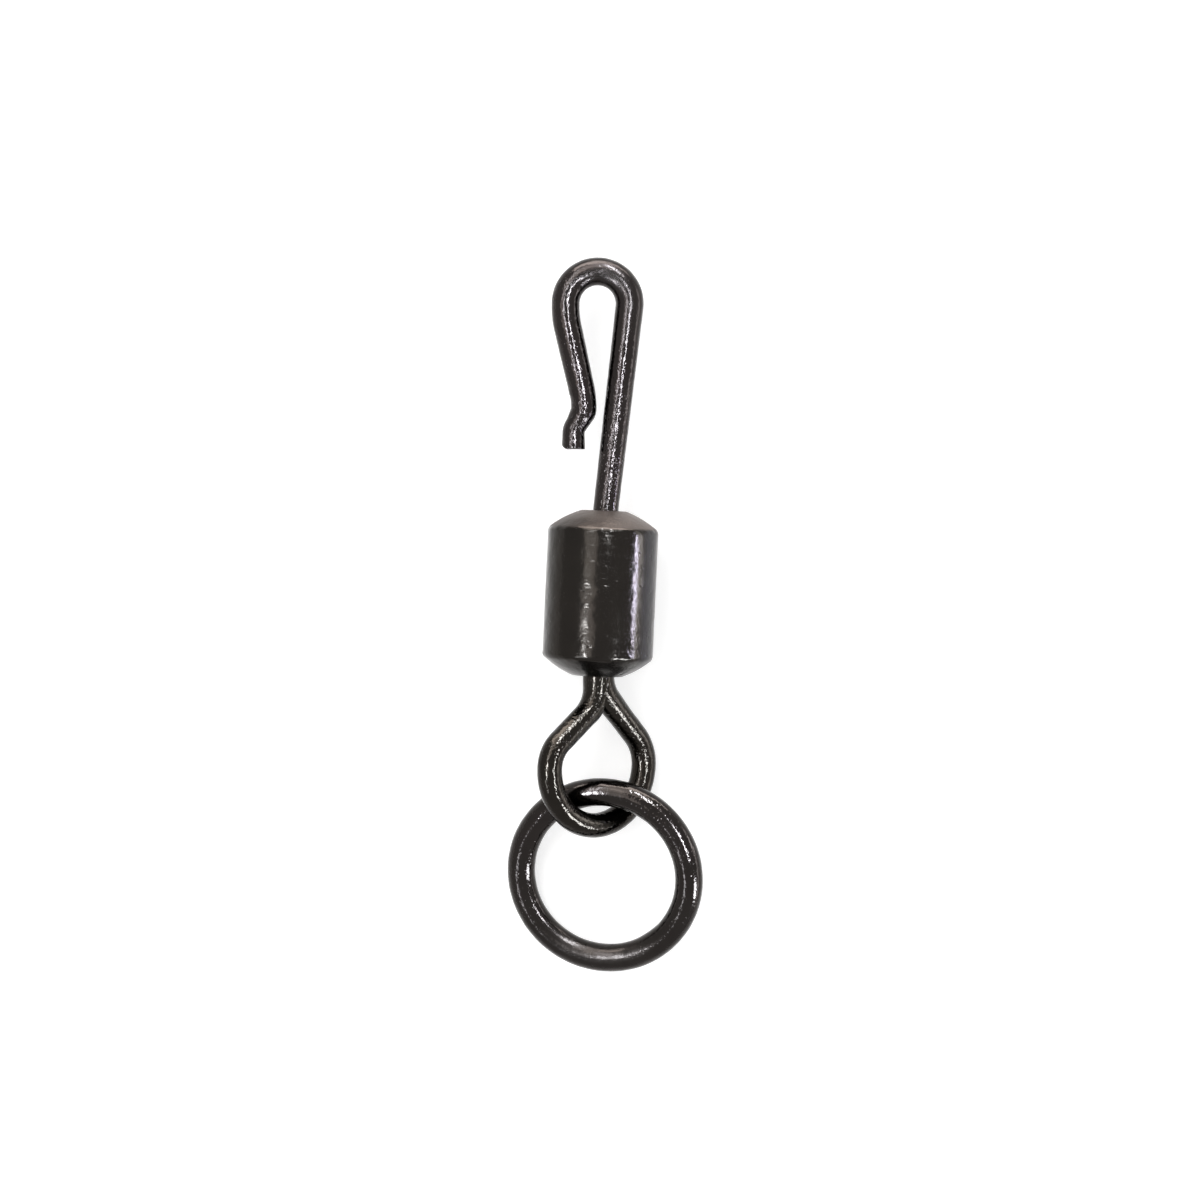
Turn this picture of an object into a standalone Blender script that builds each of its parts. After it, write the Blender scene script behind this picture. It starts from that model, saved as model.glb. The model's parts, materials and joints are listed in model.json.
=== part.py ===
# A quick change swivel: a swaged barrel that lets a sprung hook clip and an eye with a ring turn freely.
# Metres, +Z up. It lies on the plane Z = 0 with the barrel's axis along Y and the hook towards +Y.
# The origin is under the middle of the barrel, on the flat that it rests on.
import math

import bmesh
import bpy
from mathutils import Matrix, Vector

MM = 0.001

# Barrel, a drawn tube whose two ends are swaged in to a cone
BARREL_DIAMETER = 3.40 * MM
BARREL_BODY_LENGTH = 3.92 * MM
BARREL_WALL = 0.42 * MM
BARREL_SIDES = 32
SWAGE_LENGTH = 0.565 * MM
SWAGE_BULGE = 0.05 * MM
SWAGE_STEPS = 4
SHOULDER_RADIUS = 0.16 * MM
SHOULDER_STEPS = 3
END_RIM_WIDTH = 0.20 * MM

# Running fit of the two shanks in the barrel's ends, which both lie a little to one side of their holes
SHANK_CLEARANCE = 0.10 * MM
SHANK_OFFSET = 0.05 * MM
HEAD_CLEARANCE = 0.12 * MM

# Heads, upset on the wires' inner ends so that they can't pull out of the barrel
HEAD_DIAMETER = 1.70 * MM
HEAD_THICKNESS = 0.42 * MM
HEAD_EDGE = 0.08 * MM

# Hook clip, one sprung wire: shank, leg, arch, arm, kick and tail. The wire loses some of its diameter
# where it is headed, and where the arm, the kick and the tail are pressed to shape.
HOOK_WIRE_DIAMETER = 0.86 * MM
HOOK_SIDES = 16
SHANK_THINNING = 0.08 * MM
SHANK_STANDOUT = 0.05 * MM
LEG_LEAN = math.radians(4.1)
LEG_BEND_RADIUS = 1.6 * MM
LEG_LENGTH = 6.10 * MM
ARCH_RADIUS = 0.98 * MM
ARM_LEAN = math.radians(15.3)
ARM_BEND_RADIUS = 3.00 * MM
ARM_LENGTH = 1.80 * MM
ARM_THINNING = 0.05 * MM
ARM_RETURN = math.radians(12.5)
ARM_RETURN_RADIUS = 3.20 * MM
KICK_ANGLE = math.radians(28.0)
KICK_RADIUS = 0.32 * MM
KICK_LENGTH = 0.46 * MM
KICK_THINNING = 0.18 * MM
TAIL_ANGLE = math.radians(27.0)
TAIL_RADIUS = 0.45 * MM
TAIL_LENGTH = 0.44 * MM
TAIL_THINNING = 0.13 * MM
BEND_STEP = math.radians(7.5)

# Eye, one wire bent to a pear-shaped loop, its two ends pressed half round and laid side by side
EYE_WIRE_DIAMETER = 0.76 * MM
EYE_NECK_DIAMETER = 0.94 * MM
EYE_SIDES = 16
EYE_LENGTH = 4.965 * MM
EYE_WIDTH = 4.36 * MM
EYE_SIDE_SHIFT = 0.118 * MM
EYE_LEFT_FLARE = math.radians(48.4)
EYE_RIGHT_FLARE = math.radians(45.3)
EYE_LEFT_NECK_RADIUS = 1.10 * MM
EYE_RIGHT_NECK_RADIUS = 1.20 * MM
EYE_LEFT_SHOULDER_RADIUS = 1.03 * MM
EYE_RIGHT_SHOULDER_RADIUS = 1.34 * MM
EYE_PRESS_LENGTH = 1.25 * MM
EYE_SEAM = 0.02 * MM
EYE_TILT = math.radians(37.0)

# Ring, a solid closed round of wire, threaded through the eye and lying with its low side on the ground
RING_DIAMETER = 6.129 * MM
RING_WIRE_DIAMETER = 0.853 * MM
RING_SEGMENTS = 64
RING_SIDES = 16
RING_TILT = math.radians(15.5)
RING_TILT_HEADING = math.radians(-49.0)
RING_SIDE_SHIFT = 0.524 * MM
RING_STAND_OFF = 0.26 * MM

# Worked out from the sizes above
BARREL_RADIUS = BARREL_DIAMETER / 2
AXIS_HEIGHT = BARREL_RADIUS * math.cos(math.pi / BARREL_SIDES)
BARREL_END = BARREL_BODY_LENGTH / 2 + SWAGE_LENGTH
SHANK_DIAMETER = HOOK_WIRE_DIAMETER - SHANK_THINNING
HOOK_HOLE_RADIUS = SHANK_DIAMETER / 2 + SHANK_CLEARANCE
EYE_HOLE_RADIUS = EYE_SEAM + EYE_NECK_DIAMETER / 2 + SHANK_CLEARANCE
BORE_RADIUS = BARREL_RADIUS - BARREL_WALL


def swage_slope(hole_radius):
    """How far an end falls back along the axis for each unit outwards from its hole."""
    return SWAGE_LENGTH / (BARREL_RADIUS - hole_radius - END_RIM_WIDTH)


def black_nickel(name, colour, roughness):
    """The glossy black plating that every piece has."""
    material = bpy.data.materials.new(name)
    material.use_nodes = True
    shader = material.node_tree.nodes["Principled BSDF"]
    shader.inputs["Base Color"].default_value = (*colour, 1.0)
    shader.inputs["Metallic"].default_value = 0.85
    shader.inputs["Roughness"].default_value = roughness
    material.diffuse_color = (*colour, 1.0)
    return material


def add_object(name, data, parts, material, parent):
    """Link a named piece to the part's collection and hang it on the empty of its joint."""
    piece = bpy.data.objects.new(name, data)
    parts.objects.link(piece)
    piece.data.materials.append(material)
    piece.parent = parent
    return piece


def add_axis(name, parts, location, parent):
    """An empty on a joint's axis."""
    axis = bpy.data.objects.new(name, None)
    axis.empty_display_size = MM
    axis.location = location
    axis.parent = parent
    parts.objects.link(axis)
    return axis


def fillet(before, corner, after, radius, steps):
    """Points of the arc of a radius that rounds a corner between two straight lines."""
    to_before = (before - corner).normalized()
    to_after = (after - corner).normalized()
    half = to_before.angle(to_after) / 2
    reach = radius / math.tan(half)
    centre = corner + (to_before + to_after).normalized() * (radius / math.sin(half))
    first = (corner + to_before * reach - centre).normalized()
    last = (corner + to_after * reach - centre).normalized()
    return [centre + first.slerp(last, i / steps) * radius for i in range(steps + 1)]


def swaged_end(hole_radius):
    """Outer profile of one end as (radius, height), from the rim of its hole out to the body's side."""
    rim = Vector((hole_radius + END_RIM_WIDTH, BARREL_END))
    shoulder = Vector((BARREL_RADIUS, BARREL_BODY_LENGTH / 2))
    cone = shoulder - rim
    outwards = Vector((-cone.y, cone.x)).normalized()
    bulged = []
    for i in range(SWAGE_STEPS):
        share = i / SWAGE_STEPS
        bulged.append(rim + cone * share + outwards * SWAGE_BULGE * math.sin(math.pi * share))
    body_side = Vector((BARREL_RADIUS, 0.0))
    rounded = fillet(bulged[-1], shoulder, body_side, SHOULDER_RADIUS, SHOULDER_STEPS)
    return [Vector((hole_radius, BARREL_END))] + bulged + rounded


def swaged_bore(hole_radius):
    """Inner profile of one end, from the straight bore in to the hole's inner edge."""
    lip = BARREL_END - BARREL_WALL
    corner = lip - (BORE_RADIUS - hole_radius) * swage_slope(hole_radius)
    return [Vector((BORE_RADIUS, corner)), Vector((hole_radius, lip))]


def make_barrel(parts, material, parent):
    """The barrel: one closed profile turned about the axis, with a flat of its side on the ground."""
    below = Matrix.Scale(-1, 2, (0, 1))
    outer = swaged_end(HOOK_HOLE_RADIUS) + [below @ p for p in reversed(swaged_end(EYE_HOLE_RADIUS))]
    inner = [below @ p for p in reversed(swaged_bore(EYE_HOLE_RADIUS))] + swaged_bore(HOOK_HOLE_RADIUS)
    profile = outer + inner
    mesh = bpy.data.meshes.new("barrel")
    points = [(p.x, 0.0, p.y) for p in profile]
    edges = [(i, (i + 1) % len(points)) for i in range(len(points))]
    mesh.from_pydata(points, edges, [])
    barrel = add_object("barrel", mesh, parts, material, parent)
    turn = barrel.modifiers.new("turned", "SCREW")
    turn.axis = "Z"
    turn.steps = BARREL_SIDES
    turn.render_steps = BARREL_SIDES
    turn.use_merge_vertices = True
    turn.merge_threshold = 0.000001
    half_side = math.pi / BARREL_SIDES
    barrel.matrix_local = Matrix.Rotation(-math.pi / 2, 4, "X") @ Matrix.Rotation(half_side, 4, "Z")
    return barrel


class Bender:
    """Feeds a wire through a bender: straight runs and bends in a plane, starting along +Y."""

    def __init__(self, start, diameter):
        self.at = Vector(start)
        self.heading = 0.0
        self.places = [self.at.copy()]
        self.diameters = [diameter]

    def straight(self, length, diameter):
        """Feed a length of wire, which has the diameter given at its far end."""
        self.at += Vector((math.sin(self.heading), math.cos(self.heading))) * length
        self.places.append(self.at.copy())
        self.diameters.append(diameter)

    def bend(self, angle, radius):
        """Turn by an angle, to the right where it is positive."""
        side = math.copysign(1.0, angle)
        across = Vector((math.cos(self.heading), -math.sin(self.heading)))
        centre = self.at + across * radius * side
        steps = max(2, math.ceil(abs(angle) / BEND_STEP))
        start = self.at - centre
        for i in range(1, steps + 1):
            turned = start.copy()
            turned.rotate(Matrix.Rotation(-angle * i / steps, 2))
            self.places.append(centre + turned)
            self.diameters.append(self.diameters[-1])
        self.at = self.places[-1].copy()
        self.heading += angle


def headed_end(hole_radius, wire_radius):
    """The upset head of a shank as (distance along the axis, radius), from its inner face outwards."""
    top = BARREL_END - BARREL_WALL - HEAD_CLEARANCE
    head_radius = HEAD_DIAMETER / 2
    rim = top - (head_radius - wire_radius) * swage_slope(hole_radius)
    base = rim - HEAD_THICKNESS
    return [(base, head_radius - HEAD_EDGE), (base + HEAD_EDGE, head_radius), (rim, head_radius), (top, wire_radius)]


def make_hook(parts, material, parent):
    """The hook clip: a wire with a head, bent to a long leg, an arch and a sprung arm with a kick."""
    head = headed_end(HOOK_HOLE_RADIUS, SHANK_DIAMETER / 2)
    shank_top = head[-1][0]
    wire = Bender((0.0, shank_top), SHANK_DIAMETER)
    wire.straight(BARREL_END + SHANK_STANDOUT - shank_top, SHANK_DIAMETER)
    wire.bend(LEG_LEAN, LEG_BEND_RADIUS)
    wire.straight(LEG_LENGTH, HOOK_WIRE_DIAMETER)
    wire.bend(-math.pi - LEG_LEAN, ARCH_RADIUS)
    wire.bend(-ARM_LEAN, ARM_BEND_RADIUS)
    wire.straight(ARM_LENGTH, HOOK_WIRE_DIAMETER - ARM_THINNING)
    wire.bend(ARM_RETURN, ARM_RETURN_RADIUS)
    wire.bend(KICK_ANGLE, KICK_RADIUS)
    wire.straight(KICK_LENGTH, HOOK_WIRE_DIAMETER - KICK_THINNING)
    wire.bend(-TAIL_ANGLE, TAIL_RADIUS)
    wire.straight(TAIL_LENGTH, HOOK_WIRE_DIAMETER - TAIL_THINNING)
    route = [(0.0, along) for along, _ in head[:-1]] + [tuple(p) for p in wire.places]
    radii = [radius for _, radius in head[:-1]] + [d / 2 for d in wire.diameters]
    curve = bpy.data.curves.new("hook", "CURVE")
    curve.dimensions = "3D"
    curve.bevel_depth = HOOK_WIRE_DIAMETER / 2
    curve.bevel_resolution = HOOK_SIDES // 2 - 2
    curve.use_fill_caps = True
    spline = curve.splines.new("POLY")
    spline.points.add(len(route) - 1)
    for point, place, radius in zip(spline.points, route, radii):
        point.co = (place[0], place[1] - BARREL_END, 0.0, 1.0)
        point.radius = radius / curve.bevel_depth
    return add_object("hook_clip", curve, parts, material, parent)


def eye_side(flare, neck_radius, shoulder_radius, shift):
    """Centre line of one side of the eye, right of the axis: down its neck and out to the bow's widest point."""
    bow_radius = (EYE_WIDTH - EYE_WIRE_DIAMETER) / 2
    bow_height = EYE_WIRE_DIAMETER / 2 + bow_radius - EYE_LENGTH
    centre = Vector((shift + bow_radius - shoulder_radius, bow_height))
    tangent = centre + Vector((math.cos(flare), math.sin(flare))) * shoulder_radius
    run = (tangent.x - EYE_SEAM) / math.sin(flare)
    corner = tangent + Vector((-math.sin(flare), math.cos(flare))) * run
    neck = corner + Vector((0.0, neck_radius))
    places = fillet(neck, corner, tangent, neck_radius, math.ceil(flare / BEND_STEP))
    steps = math.ceil(flare / BEND_STEP)
    for i in range(steps + 1):
        angle = flare * (1.0 - i / steps)
        places.append(centre + Vector((math.cos(angle), math.sin(angle))) * shoulder_radius)
    return places


def eye_sections():
    """The eye's centre line, in its own plane with the barrel's end face at 0, as (place, radius, side)."""
    round_radius = EYE_WIRE_DIAMETER / 2
    neck_radius = EYE_NECK_DIAMETER / 2
    left = eye_side(EYE_LEFT_FLARE, EYE_LEFT_NECK_RADIUS, EYE_LEFT_SHOULDER_RADIUS, -EYE_SIDE_SHIFT)
    left = [Vector((-p.x, p.y)) for p in left]
    right = eye_side(EYE_RIGHT_FLARE, EYE_RIGHT_NECK_RADIUS, EYE_RIGHT_SHOULDER_RADIUS, EYE_SIDE_SHIFT)
    centre = (left[-1] + right[-1]) / 2
    bow_radius = (right[-1] - left[-1]).x / 2
    steps = math.ceil(math.pi / BEND_STEP)
    bow = []
    for i in range(1, steps):
        angle = math.pi + math.pi * i / steps
        bow.append(centre + Vector((math.cos(angle), math.sin(angle))) * bow_radius)
    head = headed_end(EYE_HOLE_RADIUS, neck_radius)
    sections = []
    for side, strand in ((-1, left), (1, right)):
        ends = [(Vector((side * EYE_SEAM, BARREL_END - along)), radius, side) for along, radius in head]
        for place in strand:
            pressed = min(1.0, max(0.0, 1.0 + place.y / EYE_PRESS_LENGTH))
            ends.append((place, round_radius + (neck_radius - round_radius) * pressed, side))
        sections.append(ends)
    middle = [(place, round_radius, 0) for place in bow]
    return sections[0] + middle + sections[1][::-1]


def make_eye(parts, material, parent):
    """The eye: sections lofted along the bent wire, each strand pressed flat where it meets the other."""
    sections = eye_sections()
    seam = EYE_SEAM / 2
    mesh = bmesh.new()
    rings = []
    for i, (place, radius, side) in enumerate(sections):
        before = sections[max(i - 1, 0)][0]
        after = sections[min(i + 1, len(sections) - 1)][0]
        along = (after - before).normalized()
        across = Vector((-along.y, along.x))
        ring = []
        for k in range(EYE_SIDES):
            angle = 2 * math.pi * (k + 0.5) / EYE_SIDES
            point = place + across * radius * math.cos(angle)
            if side:
                point.x = side * max(side * point.x, seam)
            ring.append(mesh.verts.new((point.x, point.y, radius * math.sin(angle))))
        rings.append(ring)
    for one, two in zip(rings, rings[1:]):
        for k in range(EYE_SIDES):
            nxt = (k + 1) % EYE_SIDES
            mesh.faces.new((one[k], one[nxt], two[nxt], two[k]))
    mesh.faces.new(rings[0][::-1])
    mesh.faces.new(rings[-1])
    bmesh.ops.recalc_face_normals(mesh, faces=mesh.faces)
    data = bpy.data.meshes.new("eye")
    mesh.to_mesh(data)
    mesh.free()
    return add_object("eye", data, parts, material, parent)


def ring_frame():
    """Centre, tilt axis, up-slope direction and centre-line radius of the ring as it lies."""
    wire_radius = RING_WIRE_DIAMETER / 2
    radius = RING_DIAMETER / 2 - wire_radius
    bow_inside = EYE_WIRE_DIAMETER - EYE_LENGTH - BARREL_END
    centre = Vector((
        RING_SIDE_SHIFT,
        bow_inside + RING_STAND_OFF + wire_radius - radius,
        wire_radius + radius * math.sin(RING_TILT),
    ))
    level = Vector((math.cos(RING_TILT_HEADING), math.sin(RING_TILT_HEADING), 0.0))
    uphill = Vector((-level.y, level.x, 0.0)) * math.cos(RING_TILT) + Vector((0.0, 0.0, math.sin(RING_TILT)))
    return centre, level, uphill, radius


def ring_grip():
    """Where the ring's centre line passes through the plane of the eye."""
    centre, level, uphill, radius = ring_frame()
    eye_normal = Vector((math.sin(EYE_TILT), 0.0, math.cos(EYE_TILT)))
    eye_axis = Vector((SHANK_OFFSET, 0.0, AXIS_HEIGHT))
    a = level.dot(eye_normal) * radius
    b = uphill.dot(eye_normal) * radius
    c = (eye_axis - centre).dot(eye_normal)
    middle = math.atan2(b, a)
    half = math.acos(max(-1.0, min(1.0, c / math.hypot(a, b))))
    crossings = []
    for angle in (middle - half, middle + half):
        crossings.append(centre + (level * math.cos(angle) + uphill * math.sin(angle)) * radius)
    return max(crossings, key=lambda place: place.y)


def make_ring(parts, material, parent, grip):
    """The ring: a torus, closed without a joint, placed about the empty where it runs through the eye."""
    centre, level, uphill, radius = ring_frame()
    bpy.ops.mesh.primitive_torus_add(
        major_radius=radius,
        minor_radius=RING_WIRE_DIAMETER / 2,
        major_segments=RING_SEGMENTS,
        minor_segments=RING_SIDES,
    )
    made = bpy.context.object
    mesh = made.data
    bpy.data.objects.remove(made)
    turned = Matrix((level, uphill, level.cross(uphill))).transposed().to_4x4()
    mesh.transform(Matrix.Translation(centre - grip) @ turned)
    mesh.name = "ring"
    return add_object("ring", mesh, parts, material, parent)


def clear_scene():
    for thing in list(bpy.data.objects):
        bpy.data.objects.remove(thing)


def smooth(piece, angle):
    """Round pieces are shaded smooth, with their true edges kept."""
    piece.data.shade_smooth()
    piece.data.set_sharp_from_angle(angle=angle)


def main():
    clear_scene()
    parts = bpy.data.collections.new("quick_change_swivel")
    bpy.context.scene.collection.children.link(parts)
    plating = black_nickel("black_nickel", (0.030, 0.028, 0.026), 0.28)
    barrel_plating = black_nickel("barrel_plating", (0.022, 0.021, 0.021), 0.22)

    middle = add_axis("swivel_axis", parts, (0.0, 0.0, AXIS_HEIGHT), None)
    hook_axis = add_axis("hook_swivel", parts, (SHANK_OFFSET, BARREL_END, 0.0), middle)
    eye_axis = add_axis("eye_swivel", parts, (SHANK_OFFSET, -BARREL_END, 0.0), middle)
    grip = ring_grip()
    eye_place = Vector((SHANK_OFFSET, -BARREL_END, AXIS_HEIGHT))
    ring_axis = add_axis("ring_fold", parts, grip - eye_place, eye_axis)

    barrel = make_barrel(parts, barrel_plating, middle)
    make_hook(parts, plating, hook_axis)
    eye = make_eye(parts, plating, eye_axis)
    eye.rotation_euler.y = EYE_TILT
    ring = make_ring(parts, plating, ring_axis, grip)
    for piece in (barrel, eye, ring):
        smooth(piece, math.radians(35.0))


main()
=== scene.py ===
"""A quick change swivel in black nickel, lying on a white table and seen from straight above."""
import json
import math

import bmesh
import bpy
from mathutils import Matrix, Vector, noise


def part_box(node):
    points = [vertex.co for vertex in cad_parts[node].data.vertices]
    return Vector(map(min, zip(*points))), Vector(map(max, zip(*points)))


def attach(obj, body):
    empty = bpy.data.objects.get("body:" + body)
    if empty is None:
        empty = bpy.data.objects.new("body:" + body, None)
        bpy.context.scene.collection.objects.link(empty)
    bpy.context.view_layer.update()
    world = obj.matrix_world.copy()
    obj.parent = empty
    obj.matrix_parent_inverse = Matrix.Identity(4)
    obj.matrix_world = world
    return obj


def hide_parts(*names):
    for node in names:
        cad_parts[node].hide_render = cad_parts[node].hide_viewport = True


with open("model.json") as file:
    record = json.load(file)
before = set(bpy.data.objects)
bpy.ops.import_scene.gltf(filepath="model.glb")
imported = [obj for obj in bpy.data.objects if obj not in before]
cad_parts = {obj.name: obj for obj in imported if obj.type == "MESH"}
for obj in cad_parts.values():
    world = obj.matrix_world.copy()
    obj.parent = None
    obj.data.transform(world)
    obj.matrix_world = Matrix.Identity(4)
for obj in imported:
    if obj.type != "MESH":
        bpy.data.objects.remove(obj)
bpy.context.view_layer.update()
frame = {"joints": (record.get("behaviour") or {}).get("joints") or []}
MM = 0.001

# Barrel
# A drawn brass tube, swaged in to a cone at both ends, which holds the two shanks and lets them turn.
# It is plated in black nickel, smooth and glossy on its side, rubbed dull at the hook's end. Its cone there
# is painted grey, partly as worn plating and partly as a painted sheen, and its right flank has a painted
# sheen.
BARREL_BODY_LENGTH = 3.92 * MM
BARREL_WALL = 0.42 * MM
BARREL_SIDES = 160
BARREL_ROWS = 56
BARREL_SHARP_ANGLE = math.radians(40.0)
SWAGE_LENGTH = 0.565 * MM
SWAGE_BULGE = 0.05 * MM
SWAGE_STEPS = 8
SHOULDER_RADIUS = 0.16 * MM
SHOULDER_STEPS = 5
END_RIM_WIDTH = 0.20 * MM
HOLE_EDGE = 0.03 * MM
EDGE_STEPS = 3
HOOK_HOLE_RADIUS = 0.49 * MM
EYE_HOLE_RADIUS = 0.59 * MM
DENT_PLACE = Vector((1.68, -0.87, 1.75)) * MM
DENT_REACH = 0.22 * MM
DENT_DEPTH = 0.05 * MM
BURR_REACH = 0.14 * MM
BURR_SIZE = 0.30 * MM
BURR_HEIGHT = 0.030 * MM
BARREL_LUMP_SIZE = 0.6 * MM
BARREL_LUMP_HEIGHT = 0.006 * MM
barrel_low, barrel_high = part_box("barrel")
barrel_radius = (barrel_high.z - barrel_low.z) / 2
barrel_axis_height = (barrel_high.z + barrel_low.z) / 2
barrel_shoulder = BARREL_BODY_LENGTH / 2
barrel_end = barrel_shoulder + SWAGE_LENGTH


def start_piece(name):
    """Take the primitive just added as a new piece, with its place in its mesh, and open it in edit mode."""
    piece = bpy.context.object
    piece.name = name
    piece.data.name = name
    bpy.ops.object.transform_apply(location=True, rotation=True, scale=True)
    bpy.ops.object.mode_set(mode="EDIT")
    return piece


def pick(piece, kind, rule):
    """Select only the faces, edges or vertices of the open piece that pass the rule."""
    bpy.ops.mesh.select_all(action="DESELECT")
    mesh = bmesh.from_edit_mesh(piece.data)
    mesh.select_mode = {kind}
    chosen = {"VERT": mesh.verts, "EDGE": mesh.edges, "FACE": mesh.faces}[kind]
    for element in chosen:
        element.select_set(rule(element))
    mesh.select_flush_mode()
    bmesh.update_edit_mesh(piece.data)


def draw_out(step, centre, factor):
    """Extrude what is selected by a step, then widen or narrow it about a centre."""
    bpy.ops.mesh.extrude_region_move(TRANSFORM_OT_translate={"value": step})
    if factor != 1.0:
        bpy.ops.transform.resize(value=(factor, factor, factor), center_override=centre)


def swage_end(piece, end, hole_radius):
    """Swage one end of the barrel in to its hole, then open the hole and its side of the bore."""
    pick(piece, "FACE", lambda face: face.normal.y * end > 0.9)
    rim_radius = hole_radius + END_RIM_WIDTH
    cone = math.hypot(SWAGE_LENGTH, barrel_radius - rim_radius)
    along = barrel_shoulder
    radius = barrel_radius
    for i in range(1, SWAGE_STEPS + 1):
        share = i / SWAGE_STEPS
        bulge = SWAGE_BULGE * math.sin(math.pi * share)
        next_along = barrel_shoulder + SWAGE_LENGTH * share
        next_along += bulge * (barrel_radius - rim_radius) / cone
        next_radius = barrel_radius + (rim_radius - barrel_radius) * share + bulge * SWAGE_LENGTH / cone
        centre = (0.0, end * next_along, barrel_axis_height)
        draw_out((0.0, end * (next_along - along), 0.0), centre, next_radius / radius)
        along, radius = next_along, next_radius
    centre = (0.0, end * along, barrel_axis_height)
    draw_out((0.0, 0.0, 0.0), centre, hole_radius / radius)
    draw_out((0.0, -end * BARREL_WALL, 0.0), centre, 1.0)
    bore_radius = barrel_radius - BARREL_WALL
    fall = SWAGE_LENGTH * (bore_radius - hole_radius) / (barrel_radius - rim_radius)
    along -= BARREL_WALL + fall
    draw_out((0.0, -end * fall, 0.0), (0.0, end * along, barrel_axis_height), bore_radius / hole_radius)


def round_edge(y, radius):
    """A rule that picks the barrel's round edge at a place along its axis and a radius."""
    near_along = 0.002 * MM
    near_radius = 0.004 * MM

    def rule(edge):
        for vertex in edge.verts:
            if abs(vertex.co.y - y) > near_along:
                return False
            if abs(math.hypot(vertex.co.x, vertex.co.z - barrel_axis_height) - radius) > near_radius:
                return False
        return True

    return rule


def lump(piece, size, height):
    """Give the plated skin its real, shallow unevenness, broader than the grain that the material has."""
    clouds = bpy.data.textures.new(piece.name + "_skin", "CLOUDS")
    clouds.noise_scale = size
    clouds.noise_depth = 1
    skin = piece.modifiers.new("skin", "DISPLACE")
    skin.texture = clouds
    skin.texture_coords = "LOCAL"
    skin.strength = height
    bpy.context.view_layer.objects.active = piece
    bpy.ops.object.modifier_apply(modifier=skin.name)


def close_piece(piece, sharp_angle):
    """Merge doubled points, turn every face outwards, and shade the piece smooth but for its true edges."""
    merge_distance = 0.0005 * MM
    bpy.ops.mesh.select_all(action="SELECT")
    bpy.ops.mesh.remove_doubles(threshold=merge_distance)
    bpy.ops.mesh.normals_make_consistent(inside=False)
    bpy.ops.object.mode_set(mode="OBJECT")
    bpy.ops.object.select_all(action="DESELECT")
    piece.select_set(True)
    bpy.context.view_layer.objects.active = piece
    bpy.ops.object.shade_smooth_by_angle(angle=sharp_angle)


class Signal:
    """A value that runs between the nodes of a material, and reads like a number in a formula."""

    def __init__(self, tree, socket=None):
        self.tree = tree
        self.socket = socket

    def node(self, kind, settings, sockets, gives=0):
        """Add a node: its settings first, then its sockets by name or place, and give one of its outputs."""
        made = self.tree.nodes.new(kind)
        for name, value in settings.items():
            setattr(made, name, value)
        for name, value in sockets.items():
            if isinstance(value, Signal):
                self.tree.links.new(value.socket, made.inputs[name])
            else:
                made.inputs[name].default_value = value
        return Signal(self.tree, made.outputs[gives]) if len(made.outputs) else None

    def maths(self, operation, *values):
        return self.node("ShaderNodeMath", {"operation": operation}, dict(enumerate(values)))

    def __add__(self, other):
        return self.maths("ADD", self, other)

    def __sub__(self, other):
        return self.maths("SUBTRACT", self, other)

    def __rsub__(self, other):
        return self.maths("SUBTRACT", other, self)

    def __mul__(self, other):
        return self.maths("MULTIPLY", self, other)

    __radd__ = __add__
    __rmul__ = __mul__

    def axis(self, letter):
        """How far along X, Y or Z a place is."""
        return self.node("ShaderNodeSeparateXYZ", {}, {0: self}, letter)

    def between(self, low, high):
        """0 where the value is at low, 1 where it is at high, and smooth in between."""
        sockets = {"Value": self, "From Min": low, "From Max": high}
        return self.node("ShaderNodeMapRange", {"interpolation_type": "SMOOTHSTEP"}, sockets)

    def mix(self, one, two):
        """One colour where the value is 0, the other where it is 1."""
        sockets = {"Factor": self, 6: one, 7: two}
        return self.node("ShaderNodeMix", {"data_type": "RGBA"}, sockets, 2)

    def noise(self, place, grain, detail=2.0, rough=0.5):
        """Cloudy noise from 0 to 1 whose grain is so many metres across."""
        sockets = {"Vector": place, "Scale": 1.0 / grain, "Detail": detail, "Roughness": rough}
        return self.node("ShaderNodeTexNoise", {}, sockets)

    def pits(self, place, spacing, spared):
        """Small round pits, 1 at their middle. The higher the share that is spared, the fewer there are."""
        pit_reach = 0.42
        sockets = {"Vector": place, "Scale": 1.0 / spacing}
        away = self.node("ShaderNodeTexVoronoi", {"feature": "F1"}, sockets, "Distance")
        chance = self.node("ShaderNodeTexVoronoi", {"feature": "F1"}, sockets, "Color")
        dip = 1.0 - away.between(0.0, pit_reach)
        return dip * chance.between(spared * 0.5, 1.0 - (1.0 - spared) * 0.5)

    def seen(self):
        """1 where the camera sees a thing straight, mirrored or through another, 0 where it lights others."""
        straight = self.node("ShaderNodeLightPath", {}, {}, "Is Camera Ray")
        mirrored = self.node("ShaderNodeLightPath", {}, {}, "Is Glossy Ray")
        through = self.node("ShaderNodeLightPath", {}, {}, "Is Transmission Ray")
        return straight + mirrored + through

    def plate(self, base, roughness, height):
        """Close a material's nodes as bare metal, with its unevenness as a height in millimetres."""
        bump = self.node("ShaderNodeBump", {}, {"Strength": 1.0, "Distance": MM, "Height": height})
        shader = self.node("ShaderNodeBsdfPrincipled", {}, {
            "Base Color": base,
            "Metallic": 1.0,
            "Roughness": roughness,
            "Normal": bump,
        })
        self.node("ShaderNodeOutputMaterial", {}, {"Surface": shader})


def new_material(name):
    """An empty material, and a signal to build its nodes with."""
    material = bpy.data.materials.new(name)
    material.use_nodes = True
    material.node_tree.nodes.clear()
    return material, Signal(material.node_tree)


def colour(red, green, blue):
    return (red, green, blue, 1.0)
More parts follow.
